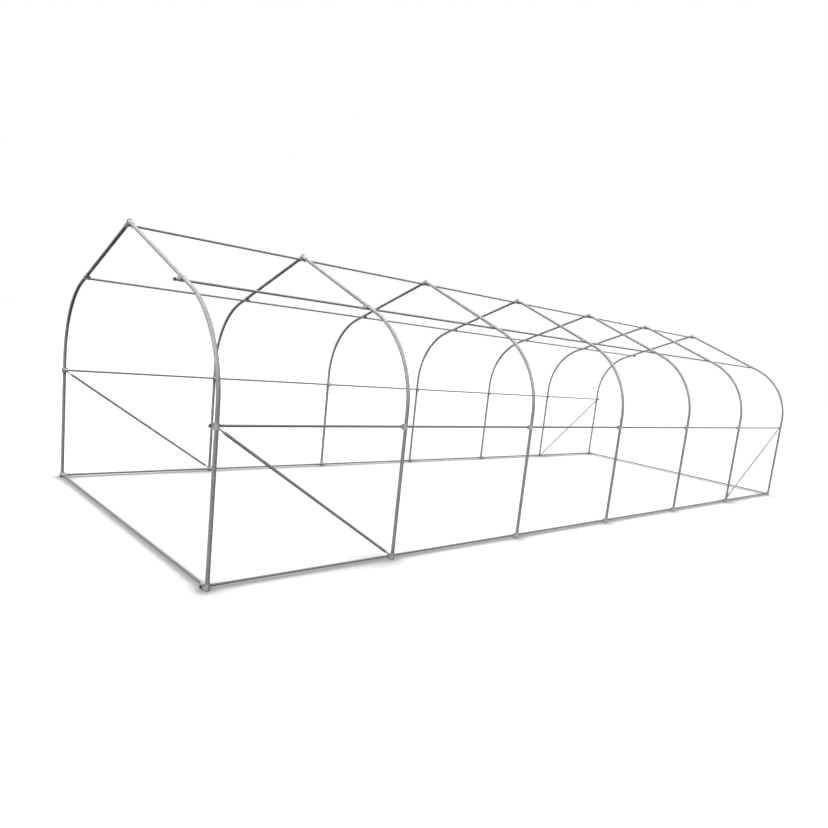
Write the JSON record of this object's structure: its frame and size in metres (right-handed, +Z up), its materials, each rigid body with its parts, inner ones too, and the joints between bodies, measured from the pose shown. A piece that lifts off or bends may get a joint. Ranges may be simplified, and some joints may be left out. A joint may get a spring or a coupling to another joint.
{
  "type": "polytunnel greenhouse frame",
  "caption": "Bare galvanised tube frame of a polytunnel greenhouse: pointed hoops on straight legs, tied by purlins, side and base rails, with corner braces and pressed clamps.",
  "frame": {"origin": "on the ground under the middle of the tunnel", "axes": "+X across the tunnel to its right side, +Y along the tunnel to its back end, +Z up"},
  "size_m": [3.0288, 8.0984, 2.1116],
  "materials": {
    "leg_tube": "dull galvanised",
    "bow_tube": "bright galvanised",
    "rail_tube": "dull galvanised",
    "clamp_steel": "zinc plated",
    "bolt_steel": "zinc plated",
    "plug_plastic": "matte black"
  },
  "bodies": {
    "root": {"hoop_1_left_bow": "bow_tube", "hoop_1_right_bow": "bow_tube", "hoop_2_left_bow": "bow_tube", "hoop_2_right_bow": "bow_tube", "hoop_3_left_bow": "bow_tube", "hoop_3_right_bow": "bow_tube", "hoop_4_left_bow": "bow_tube", "hoop_4_right_bow": "bow_tube", "hoop_5_left_bow": "bow_tube", "hoop_5_right_bow": "bow_tube", "hoop_6_left_bow": "bow_tube", "hoop_6_right_bow": "bow_tube", "hoop_7_left_bow": "bow_tube", "hoop_7_right_bow": "bow_tube", "left_legs": "leg_tube", "right_legs": "leg_tube", "apex_elbows": "clamp_steel", "ridge_ubolts": "bolt_steel", "ridge_purlin": "rail_tube", "left_shoulder_purlin": "rail_tube", "left_side_rail": "rail_tube", "left_base_rail": "rail_tube", "right_shoulder_purlin": "rail_tube", "right_side_rail": "rail_tube", "right_base_rail": "rail_tube", "front_base_rail": "rail_tube", "front_left_brace": "rail_tube", "front_right_brace": "rail_tube", "back_base_rail": "rail_tube", "back_left_brace": "rail_tube", "back_right_brace": "rail_tube", "left_shoulder_clamps": "clamp_steel", "left_side_rail_clamps": "clamp_steel", "left_foot_clamps": "clamp_steel", "right_shoulder_clamps": "clamp_steel", "right_side_rail_clamps": "clamp_steel", "right_foot_clamps": "clamp_steel", "corner_clamps": "clamp_steel", "end_plugs": "plug_plastic"}
  },
  "joints": []
}
